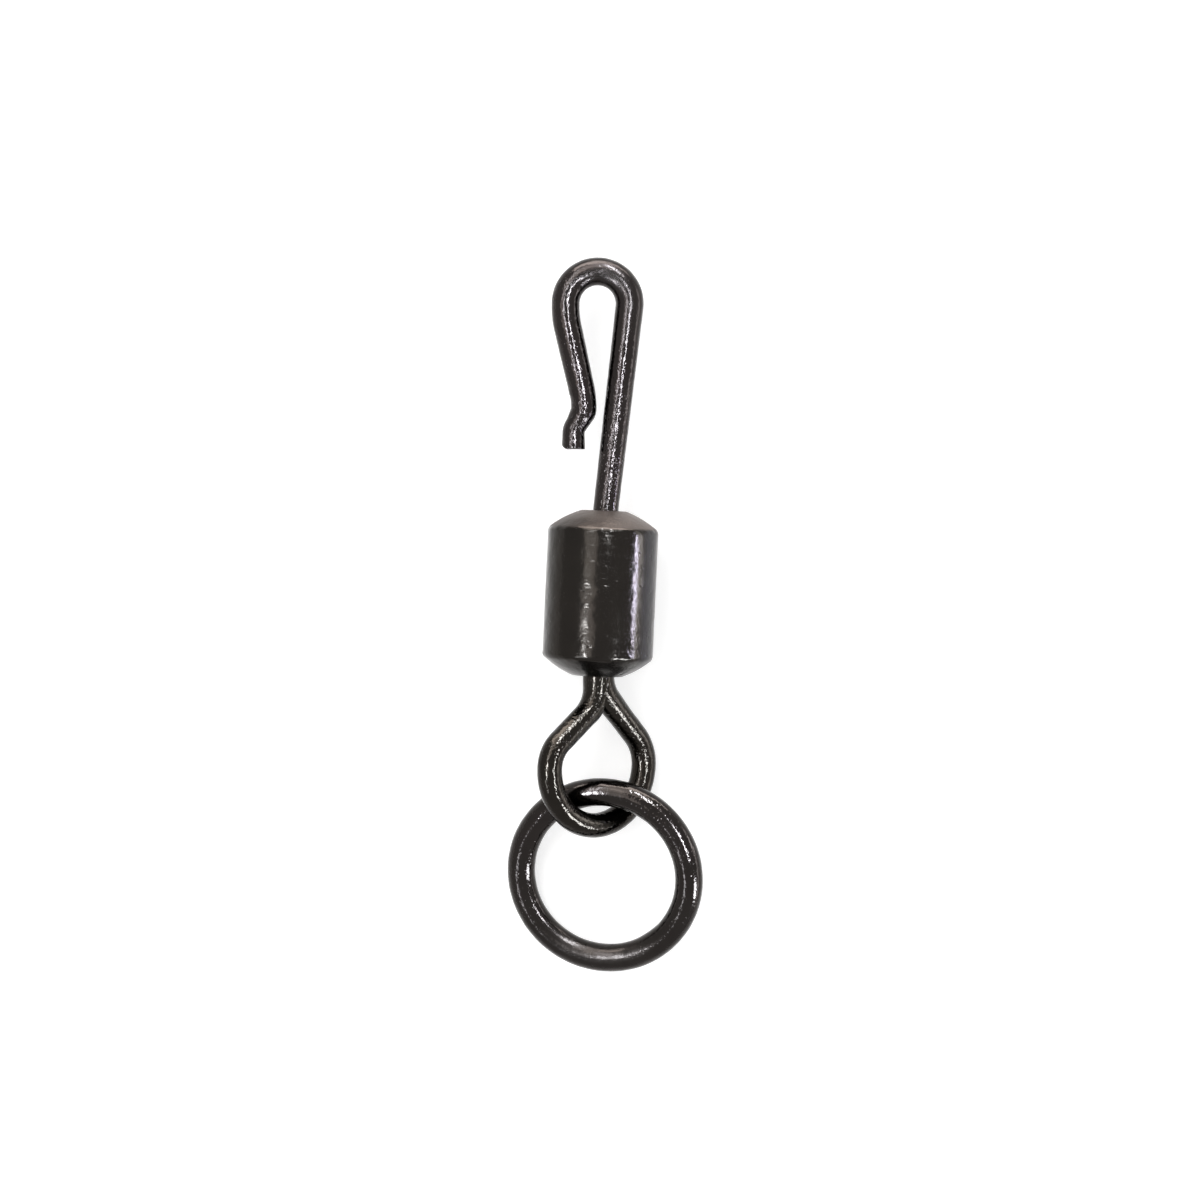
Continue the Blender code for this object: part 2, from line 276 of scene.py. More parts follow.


# Places on the barrel where its plating, or the painted sheen on it, changes: where each change begins, and
# where it is full.
TOPSIDE = (1.7 * MM, 2.4 * MM)
SCUFF_LEFT_EDGE = (0.70 * MM, 1.00 * MM)
SCUFF_RIGHT_EDGE = (1.10 * MM, 1.25 * MM)
SCUFF_COARSER = (1.2 * MM, -2.0 * MM)
# The right flank, where a painted sheen lightens the colour and the plating is also rougher.
FLANK = (1.15 * MM, 1.45 * MM)
SWAGED = (barrel_shoulder - 0.02 * MM, barrel_shoulder + 0.10 * MM)
DULLED = (barrel_shoulder - 0.03 * MM, barrel_shoulder + 0.09 * MM)
# Across the cone to the right, and out to its end, a painted sheen lightens its grey.
CONE_SHEEN_ACROSS = (-1.0 * MM, 1.4 * MM)
CONE_OUTER = (barrel_shoulder + 0.10 * MM, barrel_end)
# Its colours, of which the flank's is a painted sheen, and how far each cause turns the dark plating of the
# cone to grey: the cloud as random wear, the other two as a painted sheen, lighter to the right and out to
# its end.
SIDE_DARK = colour(0.0190, 0.0170, 0.0155)
SIDE_LIGHT = colour(0.0250, 0.0218, 0.0190)
# The flank's colour is a painted sheen, lighter than the dark plating of the rest of the side.
FLANK_PAINTED_SHEEN = colour(0.034, 0.032, 0.034)
CONE_DARK = colour(0.018, 0.014, 0.012)
# The cone's grey is partly worn plating and partly a painted sheen where light falls on it.
CONE_WORN_AND_SHEEN = colour(0.150, 0.125, 0.112)
CLOUD_WEAR = 0.40
ACROSS_SHEEN_SHARE = 0.35
OUTER_SHEEN_SHARE = 0.30
# Its roughness where it is at its glossiest, and what is added to that elsewhere.
GLOSS_ROUGHNESS = 0.14
CLOUD_ROUGHNESS = 0.08
DULLED_ROUGHNESS = 0.22
SWAGED_ROUGHNESS = 0.05
FLANK_ROUGHNESS = 0.14
# How broad the unevenness of its plating is, and how high it stands in millimetres.
CLOUD_SIZE = 0.9 * MM
WAVE_SIZE = 0.40 * MM
WAVE_HEIGHT = 0.018
GRAIN_SIZE = 0.085 * MM
GRAIN_HEIGHT = 0.0022
SCUFF_HEIGHT = 0.0025
COARSER_SCUFF_HEIGHT = 0.0045
DULLED_HEIGHT = 0.006
PIT_SPACING = 0.14 * MM
PIT_DEPTH = 0.003
PITS_SPARED = 0.80
NICK_SPACING = 0.10 * MM
NICK_DEPTH = 0.008
NICKS_SPARED = 0.94
NICK_SQUEEZE = (0.4, 1.0, 0.4)


def barrel_finish():
    """Black nickel on the barrel: deep and glossy, scuffed along its right side, dull at the hook's end.

    Its right flank has a painted sheen, and its cone at the hook's end is painted grey, partly as wear and
    partly as a painted sheen.
    """
    material, start = new_material("barrel_black_nickel")
    place = start.node("ShaderNodeTexCoord", {}, {}, "Object")
    across = place.axis("X")
    along = place.axis("Y")
    upward = place.axis("Z")
    topside = upward.between(*TOPSIDE)
    scuffed = topside * (across.between(*SCUFF_LEFT_EDGE) - across.between(*SCUFF_RIGHT_EDGE))
    coarser = along.between(*SCUFF_COARSER)
    flank = topside * across.between(*FLANK)
    swaged = along.maths("ABSOLUTE", along).between(*SWAGED)
    dulled = along.between(*DULLED)
    sheen_across = across.between(*CONE_SHEEN_ACROSS)
    outer = along.between(*CONE_OUTER)
    cloud = start.noise(place, CLOUD_SIZE, detail=3.0)
    wave = start.noise(place, WAVE_SIZE, detail=1.0)
    grain = start.noise(place, GRAIN_SIZE, detail=1.0, rough=0.4)
    pits = start.pits(place, PIT_SPACING, PITS_SPARED)
    squeeze_sockets = {0: place, 1: NICK_SQUEEZE}
    squeezed = start.node("ShaderNodeVectorMath", {"operation": "MULTIPLY"}, squeeze_sockets)
    nicks = start.pits(squeezed, NICK_SPACING, NICKS_SPARED)
    # The cone at the hook's end is painted grey: at random as wear, and lighter to the right and out to its
    # end as a painted sheen.
    wear_and_sheen = CLOUD_WEAR * cloud + ACROSS_SHEEN_SHARE * sheen_across + OUTER_SHEEN_SHARE * outer
    # The right flank is painted lighter, as a painted sheen.
    side_tone_and_sheen = flank.mix(cloud.mix(SIDE_DARK, SIDE_LIGHT), FLANK_PAINTED_SHEEN)
    base = dulled.mix(side_tone_and_sheen, wear_and_sheen.mix(CONE_DARK, CONE_WORN_AND_SHEEN))
    roughness = GLOSS_ROUGHNESS + CLOUD_ROUGHNESS * cloud + DULLED_ROUGHNESS * dulled
    roughness = roughness + SWAGED_ROUGHNESS * swaged + FLANK_ROUGHNESS * flank
    scuff_height = scuffed * (SCUFF_HEIGHT + COARSER_SCUFF_HEIGHT * coarser)
    height = wave * WAVE_HEIGHT + grain * (GRAIN_HEIGHT + scuff_height + DULLED_HEIGHT * dulled)
    height = height - pits * PIT_DEPTH - nicks * NICK_DEPTH
    start.plate(base, roughness, height)
    return material


bpy.ops.object.select_all(action="DESELECT")
bpy.ops.mesh.primitive_cylinder_add(
    vertices=BARREL_SIDES,
    radius=barrel_radius,
    depth=BARREL_BODY_LENGTH,
    location=(0.0, 0.0, barrel_axis_height),
    rotation=(-math.pi / 2, 0.0, 0.0),
)
barrel = start_piece("plated_barrel")
pick(barrel, "EDGE", lambda edge: edge.calc_length() > 0.9 * BARREL_BODY_LENGTH)
bpy.ops.mesh.subdivide(number_cuts=BARREL_ROWS)
swage_end(barrel, 1, HOOK_HOLE_RADIUS)
swage_end(barrel, -1, EYE_HOLE_RADIUS)
pick(barrel, "FACE", lambda face: len(face.verts) == BARREL_SIDES)
bpy.ops.mesh.bridge_edge_loops()
shoulder_turn = math.atan2(barrel_radius - HOOK_HOLE_RADIUS - END_RIM_WIDTH, SWAGE_LENGTH)
for end in (1, -1):
    pick(barrel, "EDGE", round_edge(end * barrel_shoulder, barrel_radius))
    bpy.ops.mesh.bevel(offset=SHOULDER_RADIUS * math.tan(shoulder_turn / 2), segments=SHOULDER_STEPS)
for end, hole in ((1, HOOK_HOLE_RADIUS), (-1, EYE_HOLE_RADIUS)):
    pick(barrel, "EDGE", round_edge(end * barrel_end, hole))
    bpy.ops.mesh.bevel(offset=HOLE_EDGE, segments=EDGE_STEPS)
close_piece(barrel, BARREL_SHARP_ANGLE)
# Use has left a dent in its right side, and swaging a slight burr along both shoulders.
for vertex in barrel.data.vertices:
    apart = (vertex.co - DENT_PLACE).length / DENT_REACH
    if apart < 1.0:
        vertex.co.x -= DENT_DEPTH * (1.0 - apart ** 2) ** 2
    from_shoulder = abs(abs(vertex.co.y) - barrel_shoulder) / BURR_REACH
    outward = Vector((vertex.co.x, 0.0, vertex.co.z - barrel_axis_height))
    if from_shoulder < 1.0 and outward.length > barrel_radius - BARREL_WALL / 2:
        burr = noise.noise(vertex.co / BURR_SIZE) * BURR_HEIGHT * (1.0 - from_shoulder ** 2) ** 2
        vertex.co += outward.normalized() * burr
lump(barrel, BARREL_LUMP_SIZE, BARREL_LUMP_HEIGHT)
barrel.data.materials.append(barrel_finish())
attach(barrel, "barrel")
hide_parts("barrel")

# Hook clip
# One sprung wire: an upset head inside the barrel, a shank, a long leg, an arch, an arm, a kick and a tail.
# It is bent from round wire, pressed thinner at the kick, and plated in a coat that is full of small pits.
HEAD_CLEARANCE = 0.12 * MM
HEAD_DIAMETER = 1.70 * MM
HEAD_THICKNESS = 0.42 * MM
HEAD_EDGE = 0.08 * MM
HOOK_WIRE_DIAMETER = 0.86 * MM
SHANK_THINNING = 0.08 * MM
SHANK_STANDOUT = 0.05 * MM
LEG_LEAN = math.radians(4.1)
LEG_BEND_RADIUS = 1.6 * MM
LEG_LENGTH = 6.10 * MM
ARCH_RADIUS = 0.98 * MM
ARM_LEAN = math.radians(15.3)
ARM_BEND_RADIUS = 3.00 * MM
ARM_LENGTH = 1.80 * MM
ARM_THINNING = 0.05 * MM
ARM_RETURN = math.radians(12.5)
ARM_RETURN_RADIUS = 3.20 * MM
KICK_ANGLE = math.radians(28.0)
KICK_RADIUS = 0.32 * MM
KICK_LENGTH = 0.46 * MM
KICK_THINNING = 0.18 * MM
TAIL_ANGLE = math.radians(27.0)
TAIL_RADIUS = 0.45 * MM
TAIL_LENGTH = 0.50 * MM
TAIL_THINNING = 0.13 * MM
TAIL_EDGE = 0.03 * MM
TAIL_CORNER = 0.20 * MM
KICK_PRESS_REACH = 0.42 * MM
KICK_PRESS_FACTOR = 0.5
KICK_PRESS_ROUNDS = 30
HOOK_LUMP_SIZE = 0.30 * MM
HOOK_LUMP_HEIGHT = 0.010 * MM
WIRE_SIDES = 48
WIRE_STEP = 0.05 * MM
WIRE_SHARP_ANGLE = math.radians(50.0)


class Bender:
    """Draws a wire out of a filled circle and bends it in a level plane, as a wire bender does."""

    def __init__(self, name, place, heading, radius):
        self.place = Vector(place)
        self.heading = heading
        self.radius = radius
        bpy.ops.object.select_all(action="DESELECT")
        bpy.ops.mesh.primitive_circle_add(
            vertices=WIRE_SIDES,
            radius=radius,
            location=self.place,
            rotation=(-math.pi / 2, 0.0, 0.0),
            fill_type="NGON",
        )
        self.piece = start_piece(name)
        bpy.ops.mesh.select_all(action="SELECT")

    def ahead(self):
        """The level direction in which the wire is fed."""
        return Vector((math.sin(self.heading), math.cos(self.heading), 0.0))

    def aside(self):
        """The level direction to the right of that."""
        return Vector((math.cos(self.heading), -math.sin(self.heading), 0.0))

    def resize(self, radius):
        if radius != self.radius:
            factor = radius / self.radius
            bpy.ops.transform.resize(value=(factor, factor, factor), center_override=self.place)
            self.radius = radius

    def feed(self, length, radius_at, steps=None):
        """Feed the wire straight on. Its radius follows a rule of how much of the length has gone."""
        count = steps or max(1, math.ceil(length / WIRE_STEP))
        step = self.ahead() * (length / count)
        for i in range(1, count + 1):
            bpy.ops.mesh.extrude_region_move(TRANSFORM_OT_translate={"value": step})
            self.place += step
            self.resize(radius_at(i / count))

    def bend(self, angle, bend_radius, radius_at=None):
        """Bend the wire by an angle, to the right where it is positive."""
        side = math.copysign(1.0, angle)
        centre = self.place + self.aside() * side * bend_radius
        count = max(2, math.ceil(abs(angle) * (bend_radius + self.radius) / WIRE_STEP))
        step = angle / count
        for i in range(1, count + 1):
            bpy.ops.mesh.spin(steps=1, angle=abs(step), center=centre, axis=(0.0, 0.0, side))
            self.heading += step
            self.place = centre - self.aside() * side * bend_radius
            if radius_at:
                self.resize(radius_at(i / count))


def steady(radius):
    return lambda share: radius


def taper(first, last):
    return lambda share: first + (last - first) * share


def head_slope(hole_radius, shank_radius):
    """How long the sloping side of a head is, which runs along the inside of the barrel's cone."""
    rim_radius = hole_radius + END_RIM_WIDTH
    return (HEAD_DIAMETER / 2 - shank_radius) * SWAGE_LENGTH / (barrel_radius - rim_radius)


def head_base(hole_radius, shank_radius):
    """How far along the barrel the inner face of a head lies."""
    slope = head_slope(hole_radius, shank_radius)
    return barrel_end - BARREL_WALL - HEAD_CLEARANCE - slope - HEAD_THICKNESS


def draw_head(wire, hole_radius, shank_radius):
    """Draw the upset head that keeps a shank in the barrel, and its slope down to the shank."""
    wire.feed(HEAD_EDGE, steady(HEAD_DIAMETER / 2), 1)
    wire.feed(HEAD_THICKNESS - HEAD_EDGE, steady(HEAD_DIAMETER / 2), 1)
    wire.feed(head_slope(hole_radius, shank_radius), steady(shank_radius), 1)


# What the plating of all three wires has in common. Its heights are in millimetres.
WIRE_CLOUD_SIZE = 1.4 * MM
WIRE_LUMP_SIZE = 0.30 * MM
WIRE_LUMP_HEIGHT = 0.009
WIRE_GRAIN_HEIGHT = 0.0075
WIRE_PIT_DEPTH = 0.012
WIRE_PIT_SPACING_IN_GRAINS = 1.35
WIRE_PITS_SPARED = 0.25
WIRE_PATCH = (0.40, 0.70)
PATCH_ROUGHNESS = 0.06
PITS_OFF_THE_PATCHES = 0.4
CLOUD_SHARE = 0.6
LUMP_SHARE = 0.4
FULLY_WORN_SHARE = 0.35


def wire_finish(name, dark, light, roughness, grain_size, coarseness, worn_places):
    """Black nickel on a wire: glossy, but so full of grain and pits that its highlights break into sparks.

    A worn place has its middle, its reach, and how much duller and coarser than the rest it is.
    """
    material, start = new_material(name)
    place = start.node("ShaderNodeTexCoord", {}, {}, "Object")
    cloud = start.noise(place, WIRE_CLOUD_SIZE, detail=3.0)
    lumps = start.noise(place, WIRE_LUMP_SIZE, detail=1.0)
    grain = start.noise(place, grain_size, detail=1.0, rough=0.4)
    pits = start.pits(place, grain_size * WIRE_PIT_SPACING_IN_GRAINS, WIRE_PITS_SPARED)
    patch = cloud.between(*WIRE_PATCH)
    base = (cloud * CLOUD_SHARE + lumps * LUMP_SHARE).mix(dark, light)
    roughness = roughness + PATCH_ROUGHNESS * patch
    for middle, reach, duller, coarser in worn_places:
        away = place.node("ShaderNodeVectorMath", {"operation": "DISTANCE"}, {0: place, 1: middle}, "Value")
        worn = 1.0 - away.between(FULLY_WORN_SHARE * reach, reach)
        roughness = roughness + duller * worn
        coarseness = coarseness + coarser * worn
    pit_depth = WIRE_PIT_DEPTH * (PITS_OFF_THE_PATCHES + (1.0 - PITS_OFF_THE_PATCHES) * patch)
    height = lumps * WIRE_LUMP_HEIGHT + (grain * WIRE_GRAIN_HEIGHT - pits * pit_depth) * coarseness
    start.plate(base, roughness, height)
    return material


wire_radius = HOOK_WIRE_DIAMETER / 2
shank_radius = wire_radius - SHANK_THINNING / 2
arm_radius = wire_radius - ARM_THINNING / 2
kick_radius = wire_radius - KICK_THINNING / 2
tail_radius = wire_radius - TAIL_THINNING / 2
hook_base = head_base(HOOK_HOLE_RADIUS, shank_radius)
pivots = {joint["name"]: Vector(joint["pos_m"]) for joint in frame["joints"]}
hook_pivot = pivots["hook_swivel"]
wire = Bender("bent_hook_clip", (hook_pivot.x, hook_base, hook_pivot.z), 0.0, HEAD_DIAMETER / 2 - HEAD_EDGE)
draw_head(wire, HOOK_HOLE_RADIUS, shank_radius)
wire.feed(barrel_end + SHANK_STANDOUT - wire.place.y, steady(shank_radius))
wire.bend(LEG_LEAN, LEG_BEND_RADIUS)
wire.feed(LEG_LENGTH, taper(shank_radius, wire_radius))
wire.bend(-math.pi - LEG_LEAN, ARCH_RADIUS)
wire.bend(-ARM_LEAN, ARM_BEND_RADIUS)
wire.feed(ARM_LENGTH, taper(wire_radius, arm_radius))
wire.bend(ARM_RETURN, ARM_RETURN_RADIUS)
kick_hollow = wire.place + wire.aside() * arm_radius
wire.bend(KICK_ANGLE, KICK_RADIUS)
wire.feed(KICK_LENGTH, taper(arm_radius, kick_radius))
wire.bend(-TAIL_ANGLE, TAIL_RADIUS)
wire.feed(TAIL_LENGTH, taper(kick_radius, tail_radius))
hook = wire.piece
tail_end = wire.place.copy()


def on_tail_rim(edge):
    """The edge round the tail's cut end, where one of its two faces is the cap."""
    if min(len(face.verts) for face in edge.link_faces) == max(len(face.verts) for face in edge.link_faces):
        return False
    return (edge.verts[0].co - tail_end).length < HOOK_WIRE_DIAMETER


pick(hook, "EDGE", on_tail_rim)
bpy.ops.mesh.bevel(offset=TAIL_EDGE, segments=EDGE_STEPS)
pick(hook, "VERT", lambda vertex: (vertex.co - kick_hollow).length < KICK_PRESS_REACH)
bpy.ops.mesh.vertices_smooth(factor=KICK_PRESS_FACTOR, repeat=KICK_PRESS_ROUNDS)
close_piece(hook, WIRE_SHARP_ANGLE)
# The shear has rounded one corner of the tail's cut end.
for vertex in hook.data.vertices:
    away = vertex.co - tail_end
    if away.length > HOOK_WIRE_DIAMETER:
        continue
    short = TAIL_CORNER + away.dot(wire.ahead())
    beside = TAIL_CORNER - (tail_radius - away.dot(wire.aside()))
    over = math.hypot(short, beside) - TAIL_CORNER
    if short > 0.0 and beside > 0.0 and over > 0.0:
        vertex.co -= (wire.ahead() * short + wire.aside() * beside) * (over / (over + TAIL_CORNER))
lump(hook, HOOK_LUMP_SIZE, HOOK_LUMP_HEIGHT)
# The leg is coarser by the barrel, and the arch duller and smoother.
hook_finish = wire_finish(
    "hook_black_nickel",
    dark=colour(0.024, 0.021, 0.020),
    light=colour(0.034, 0.029, 0.028),
    roughness=0.10,
    grain_size=0.078 * MM,
    coarseness=0.9,
    worn_places=(
        (Vector((0.35, 4.9, 2.1)) * MM, 2.4 * MM, 0.0, 0.8),
        (Vector((0.6, 9.6, 2.1)) * MM, 2.6 * MM, 0.10, -0.45),
    ),
)
hook.data.materials.append(hook_finish)
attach(hook, "hook")
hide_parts("hook_clip")

# Eye
# One wire bent to a pear-shaped loop. Its two ends are pressed half round, lie side by side through the
# barrel's end and are headed inside it. It lies turned about the barrel's axis, its left side up.
EYE_WIRE_DIAMETER = 0.76 * MM
EYE_NECK_DIAMETER = 0.94 * MM
EYE_LENGTH = 4.965 * MM
EYE_WIDTH = 4.36 * MM
EYE_SIDE_SHIFT = 0.118 * MM
EYE_PRESS_LENGTH = 1.25 * MM
EYE_SEAM = 0.02 * MM
EYE_TILT = math.radians(37.0)
EYE_FORK = -2.2 * MM
EYE_LUMP_SIZE = 0.28 * MM
EYE_LUMP_HEIGHT = 0.009 * MM
# For the left strand and the right one: side, flare, and the bend radii at its neck and its shoulder.
EYE_STRANDS = (
    (-1, math.radians(48.4), 1.10 * MM, 1.03 * MM),
    (1, math.radians(45.3), 1.20 * MM, 1.34 * MM),
)
eye_pivot = pivots["eye_swivel"]
bow_radius = (EYE_WIDTH - EYE_WIRE_DIAMETER) / 2
bow_height = EYE_WIRE_DIAMETER / 2 + bow_radius - EYE_LENGTH
eye_radius = EYE_WIRE_DIAMETER / 2
neck_radius = EYE_NECK_DIAMETER / 2


def pressed_radius(y):
    """The radius of a strand at a height in the eye, wider where it was pressed half round."""
    pressed = min(1.0, max(0.0, 1.0 + y / EYE_PRESS_LENGTH))
    return eye_radius + (neck_radius - eye_radius) * pressed


def draw_strand(side, flare, neck_bend, shoulder_bend):
    """Draw one half of the eye, level, from its head to the bottom of the bow, and cut its inner side flat.

    It is drawn from the barrel's end as its zero, and is turned and set in place with the other half.
    """
    reach = bow_radius + side * EYE_SIDE_SHIFT - EYE_SEAM
    bends = neck_bend + shoulder_bend
    run = (reach - bends * (1.0 - math.cos(flare))) / math.sin(flare)
    neck_start = bow_height + bends * math.sin(flare) + run * math.cos(flare)
    base = barrel_end - head_base(EYE_HOLE_RADIUS, neck_radius)
    strand = Bender("eye_strand", (side * EYE_SEAM, base, 0.0), math.pi, HEAD_DIAMETER / 2 - HEAD_EDGE)
    draw_head(strand, EYE_HOLE_RADIUS, neck_radius)
    top = strand.place.y
    strand.feed(top - neck_start, lambda share: pressed_radius(top + (neck_start - top) * share))
    strand.bend(
        -side * flare,
        neck_bend,
        lambda share: pressed_radius(neck_start - neck_bend * math.sin(flare * share)),
    )
    flare_top = strand.place.y
    strand.feed(run, lambda share: pressed_radius(flare_top - run * math.cos(flare) * share))
    strand.bend(side * flare, shoulder_bend)
    strand.bend(side * math.pi / 2, bow_radius)
    bpy.ops.mesh.delete(type="ONLY_FACE")
    half = strand.piece
    pick(half, "FACE", lambda face: face.calc_center_median().y > EYE_FORK)
    bpy.ops.mesh.bisect(
        plane_co=(side * EYE_SEAM / 2, 0.0, 0.0),
        plane_no=(-side, 0.0, 0.0),
        use_fill=True,
        clear_outer=True,
        threshold=0.0002 * MM,
    )
    bpy.ops.object.mode_set(mode="OBJECT")
    return half


halves = [draw_strand(*strand) for strand in EYE_STRANDS]
bpy.ops.object.select_all(action="DESELECT")
for half in halves:
    half.select_set(True)
bpy.context.view_layer.objects.active = halves[0]
bpy.ops.object.join()
eye = halves[0]
eye.name = "pear_eye"
eye.data.name = "pear_eye"
eye.rotation_euler.y = EYE_TILT
eye.location = eye_pivot
bpy.ops.object.transform_apply(location=True, rotation=True, scale=True)
bpy.ops.object.mode_set(mode="EDIT")
close_piece(eye, WIRE_SHARP_ANGLE)
lump(eye, EYE_LUMP_SIZE, EYE_LUMP_HEIGHT)
# The upper half of the left strand is coarser.
eye_finish = wire_finish(
    "eye_black_nickel",
    dark=colour(0.015, 0.013, 0.011),
    light=colour(0.026, 0.023, 0.020),
    roughness=0.08,
    grain_size=0.072 * MM,
    coarseness=0.75,
    worn_places=((Vector((-0.9, -4.0, 2.4)) * MM, 1.8 * MM, 0.0, 0.6),),
)
eye.data.materials.append(eye_finish)
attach(eye, "eye")
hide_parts("eye")

# Ring
# A solid round of wire, closed without a gap and threaded through the eye. Its low side lies on the table,
# and the side that passes through the eye stands up.
RING_DIAMETER = 6.129 * MM
RING_WIRE_DIAMETER = 0.853 * MM
RING_TILT = math.radians(15.5)
RING_TILT_HEADING = math.radians(-49.0)
RING_JOINT = Vector((1.95, -10.20, 0.60)) * MM
RING_JOINT_REACH = 0.70 * MM
RING_JOINT_SWELLING = 0.045 * MM
RING_STEPS = 288
RING_LUMP_SIZE = 0.34 * MM
RING_LUMP_HEIGHT = 0.010 * MM
ring_low, ring_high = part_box("ring")
ring_middle = (ring_low + ring_high) / 2
bpy.ops.object.select_all(action="DESELECT")
bpy.ops.mesh.primitive_torus_add(
    major_radius=(RING_DIAMETER - RING_WIRE_DIAMETER) / 2,
    minor_radius=RING_WIRE_DIAMETER / 2,
    major_segments=RING_STEPS,
    minor_segments=WIRE_SIDES,
    location=ring_middle,
    rotation=(RING_TILT, 0.0, RING_TILT_HEADING),
)
ring = start_piece("solid_ring")
close_piece(ring, WIRE_SHARP_ANGLE)
# The closed joint has left a slight swelling on the ring's inner side.
for vertex in ring.data.vertices:
    apart = (vertex.co - RING_JOINT).length / RING_JOINT_REACH
    if apart < 1.0:
        vertex.co += (ring_middle - RING_JOINT).normalized() * RING_JOINT_SWELLING * (1.0 - apart ** 2) ** 2
lump(ring, RING_LUMP_SIZE, RING_LUMP_HEIGHT)
# It is rubbed dull on the side away from the barrel, and is smoother where it passes through the eye.
ring_finish = wire_finish(
    "ring_black_nickel",
    dark=colour(0.020, 0.0175, 0.0165),
    light=colour(0.031, 0.0270, 0.0250),
    roughness=0.08,
    grain_size=0.078 * MM,
    coarseness=0.75,
    worn_places=(
        (Vector((0.5, -11.2, 0.6)) * MM, 2.8 * MM, 0.17, -0.25),
        (Vector((0.0, -6.0, 1.8)) * MM, 1.6 * MM, 0.05, -0.50),
    ),
)
ring.data.materials.append(ring_finish)
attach(ring, "ring")
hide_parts("ring")

# Table
# A plain white table top, matt, just under the swivel. Where it is seen, a quarter of it is its own glow, so
# that the swivel's shadows stay on it, but lifted, as in the photograph.
TABLE_SIZE = 1.2
TABLE_DROP = 0.004 * MM
TABLE_GLOW = 2.4
SHADOW_LIFT = 0.25


def table_finish():
    material, start = new_material("white_table")
    white = start.node("ShaderNodeBsdfDiffuse", {}, {"Color": colour(0.92, 0.92, 0.92)})
    glow = start.node("ShaderNodeEmission", {}, {"Color": colour(1.0, 1.0, 1.0), "Strength": TABLE_GLOW})
    surface = start.node("ShaderNodeMixShader", {}, {0: start.seen() * SHADOW_LIFT, 1: white, 2: glow})
    start.node("ShaderNodeOutputMaterial", {}, {"Surface": surface})
    return material


bpy.ops.object.select_all(action="DESELECT")
bpy.ops.mesh.primitive_plane_add(size=TABLE_SIZE, location=(0.0, 0.0, -TABLE_DROP))
table = bpy.context.object
table.name = "table_top"
table.data.materials.append(table_finish())

# Light
# Two soft windows to the left and ahead light the table and everything on it. The cards and strips are seen
# only in the gloss, where they draw the highlights along the wires and down the barrel. Some strips stand
# close above one piece, so that the lines run on it as they do in the photograph.
FAR = 500.0 * MM
NEAR = 30.0 * MM
OVERALL = Vector((0.0, -1.0, 1.0)) * MM
NEAR_ARM = Vector((-1.2, 7.4, 2.0)) * MM
NEAR_BARREL = Vector((0.0, 0.0, 1.7)) * MM
NEAR_EYE = Vector((0.0, -5.5, 2.5)) * MM
NEAR_RING = Vector((0.0, -8.0, 1.0)) * MM
NEAR_LINK = Vector((0.5, -6.5, 1.5)) * MM
WARM = (1.0, 0.97, 0.94)
CLEAR = (0.95, 0.98, 1.0)
CRISP = (0.82, 0.91, 1.0)
BLUE = (0.68, 0.72, 1.0)
ROOM_LIGHT = 0.8


def add_lamp(name, aim, distance, turn, span, brightness, tint, beam=180.0, lights_all=False):
    """A flat lamp that faces a point, so many degrees to the right of straight above it and ahead of it.

    Its span is its width across and its length ahead in degrees, as that point sees them. A brightness of 1
    is white paper's. A narrow beam fades away to its sides, so that it misses the pieces further off.
    """
    lean = math.radians(math.hypot(*turn))
    heading = math.atan2(turn[1], turn[0])
    level = Vector((math.cos(heading), math.sin(heading), 0.0))
    direction = level * math.sin(lean) + Vector((0.0, 0.0, math.cos(lean)))
    side = Vector((0.0, 1.0, 0.0)).cross(direction).normalized()
    data = bpy.data.lights.new(name, "AREA")
    data.shape = "RECTANGLE"
    data.size = 2 * distance * math.tan(math.radians(span[0] / 2))
    data.size_y = 2 * distance * math.tan(math.radians(span[1] / 2))
    data.energy = brightness * data.size * data.size_y * math.pi
    data.color = tint
    if beam < 180.0:
        half_beam = math.radians(beam / 2)
        data.spread = 2 * half_beam
        data.energy *= 1.0 - half_beam / math.tan(half_beam)
    lamp = bpy.data.objects.new(name, data)
    bpy.context.scene.collection.objects.link(lamp)
    lamp.location = aim + direction * distance
    lamp.rotation_euler = Matrix((side, direction.cross(side), direction)).transposed().to_euler()
    lamp.visible_camera = False
    lamp.visible_diffuse = lights_all


# The two windows, and the bright edge of one in the gloss.
add_lamp("window", OVERALL, FAR, (-24.0, 14.0), (26.0, 52.0), 2.4, WARM, lights_all=True)
add_lamp("window_top", OVERALL, FAR, (-20.0, 34.0), (26.0, 34.0), 1.6, WARM, lights_all=True)
add_lamp("window_edge", OVERALL, FAR, (-27.0, 27.0), (2.5, 34.0), 30.0, CRISP)
# Strips and cards far off, which every piece mirrors alike.
add_lamp("key_halo", OVERALL, FAR, (3.0, 53.0), (42.0, 44.0), 3.4, WARM)
add_lamp("key_strip", OVERALL, FAR, (14.0, 48.0), (7.0, 24.0), 85.0, CRISP)
add_lamp("low_card", OVERALL, FAR, (84.0, 0.0), (16.0, 60.0), 4.0, CLEAR)
add_lamp("left_card", OVERALL, FAR, (-36.0, -30.0), (10.0, 10.0), 14.0, CRISP)
add_lamp("far_card", OVERALL, FAR, (4.0, 82.0), (80.0, 26.0), 11.0, WARM)
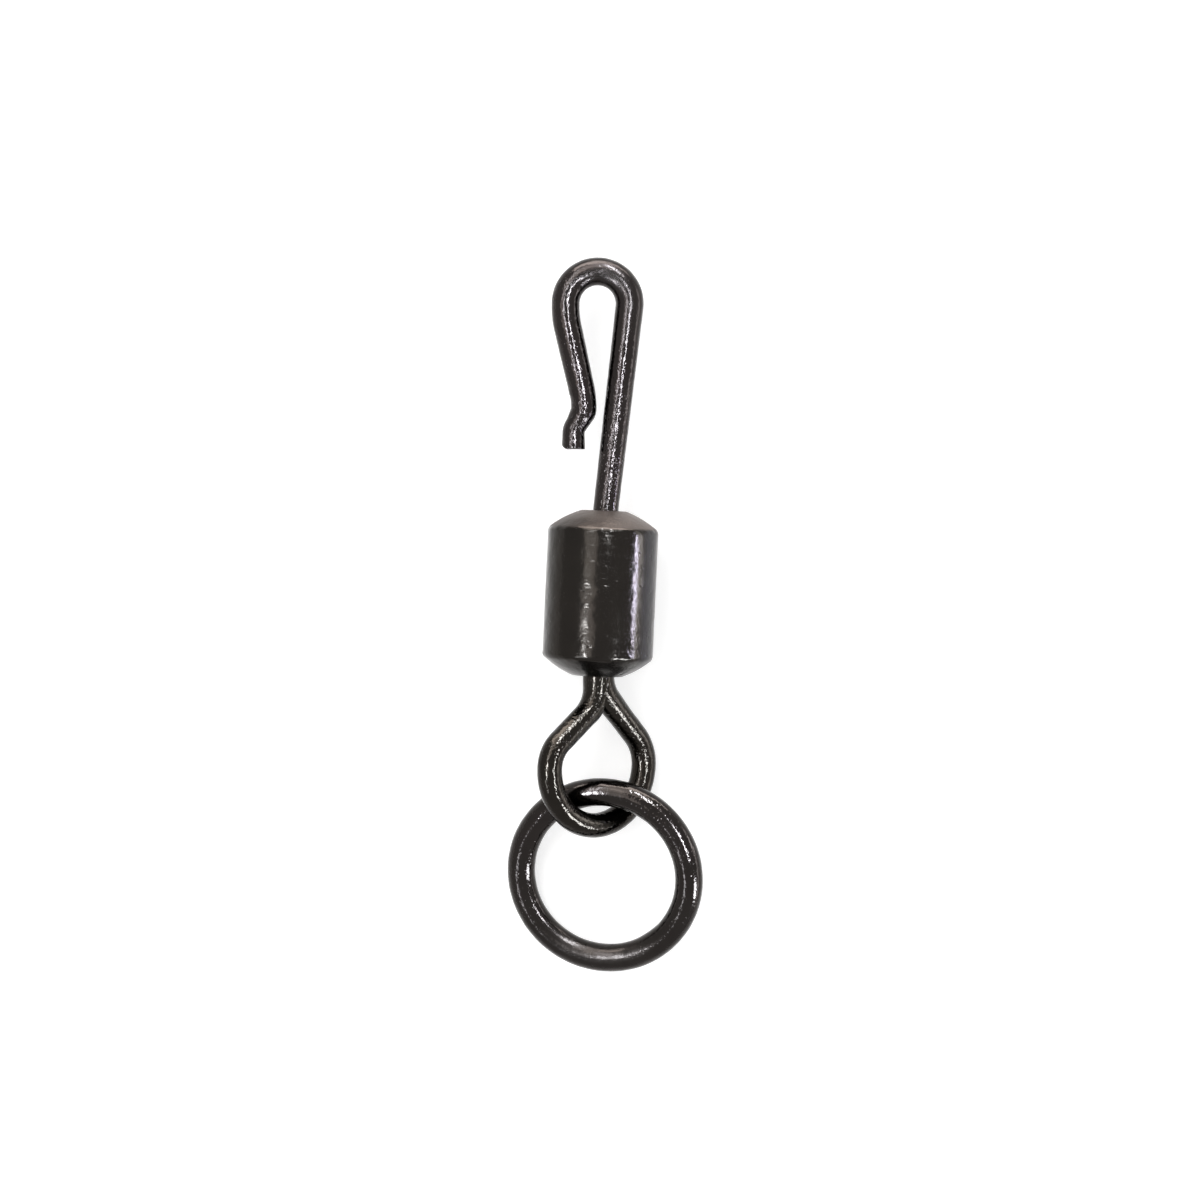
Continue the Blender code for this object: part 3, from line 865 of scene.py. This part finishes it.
# Strips and a card near one piece, which the others hardly mirror.
add_lamp("hook_strip", NEAR_ARM, 12.3 * MM, (17.5, 0.0), (4.4, 41.0), 140.0, CRISP, beam=60.0)
add_lamp("hook_edge", NEAR_ARM, 11.7 * MM, (-14.5, 0.0), (4.0, 41.0), 52.0, CRISP, beam=56.0)
add_lamp("eye_edge", NEAR_EYE, 12.0 * MM, (38.0, -7.0), (4.0, 30.0), 120.0, CRISP)
add_lamp("ring_edge", NEAR_RING, NEAR, (-27.0, -1.5), (2.8, 21.0), 150.0, CRISP)
add_lamp("link_strip", NEAR_LINK, NEAR, (55.0, -31.0), (20.0, 13.0), 72.0, CRISP, beam=60.0)
add_lamp("barrel_strip", NEAR_BARREL, 12.0 * MM, (71.0, 0.0), (2.6, 19.0), 230.0, BLUE, beam=50.0)
add_lamp("barrel_card", NEAR_BARREL, NEAR, (84.0, 0.0), (16.0, 14.0), 5.0, CLEAR)

# The room is pure white where it is seen, and a little dimmer as light.
world = bpy.data.worlds.new("bright_room")
bpy.context.scene.world = world
world.use_nodes = True
world.node_tree.nodes.clear()
room = Signal(world.node_tree)
room_strength = ROOM_LIGHT + room.seen() * (1.0 - ROOM_LIGHT)
room_sockets = {"Color": colour(1.0, 1.0, 1.0), "Strength": room_strength}
background = room.node("ShaderNodeBackground", {}, room_sockets)
room.node("ShaderNodeOutputWorld", {}, {"Surface": background})

# Camera
# Straight above the swivel, as in the photograph, and turned a little, because the swivel lies aslant there.
# The frame is shifted so that the point straight below the camera is where the photograph has it.
CAMERA_HEIGHT = 85.0 * MM
CAMERA_TURN = math.radians(2.6)
PIXELS_PER_MM = 32.7
FRAME_PIXELS = 1200
ORIGIN_PIXEL = Vector((600.45, 593.1))
STRAIGHT_DOWN_PIXEL = Vector((600.0, 528.0))
camera_data = bpy.data.cameras.new("camera")
camera = bpy.data.objects.new("camera", camera_data)
bpy.context.scene.collection.objects.link(camera)
offset = (STRAIGHT_DOWN_PIXEL - ORIGIN_PIXEL) / PIXELS_PER_MM * MM
right = Vector((math.cos(CAMERA_TURN), math.sin(CAMERA_TURN), 0.0))
up = Vector((-math.sin(CAMERA_TURN), math.cos(CAMERA_TURN), 0.0))
camera.location = right * offset.x - up * offset.y + Vector((0.0, 0.0, barrel_axis_height + CAMERA_HEIGHT))
camera.rotation_euler.z = CAMERA_TURN
camera_data.lens = camera_data.sensor_width * PIXELS_PER_MM * CAMERA_HEIGHT / MM / FRAME_PIXELS
camera_data.shift_x = (FRAME_PIXELS / 2 - STRAIGHT_DOWN_PIXEL.x) / FRAME_PIXELS
camera_data.shift_y = (STRAIGHT_DOWN_PIXEL.y - FRAME_PIXELS / 2) / FRAME_PIXELS
camera_data.clip_start = 1.0 * MM
camera_data.clip_end = 10.0
bpy.context.scene.camera = camera
bpy.context.scene.view_settings.view_transform = "Standard"
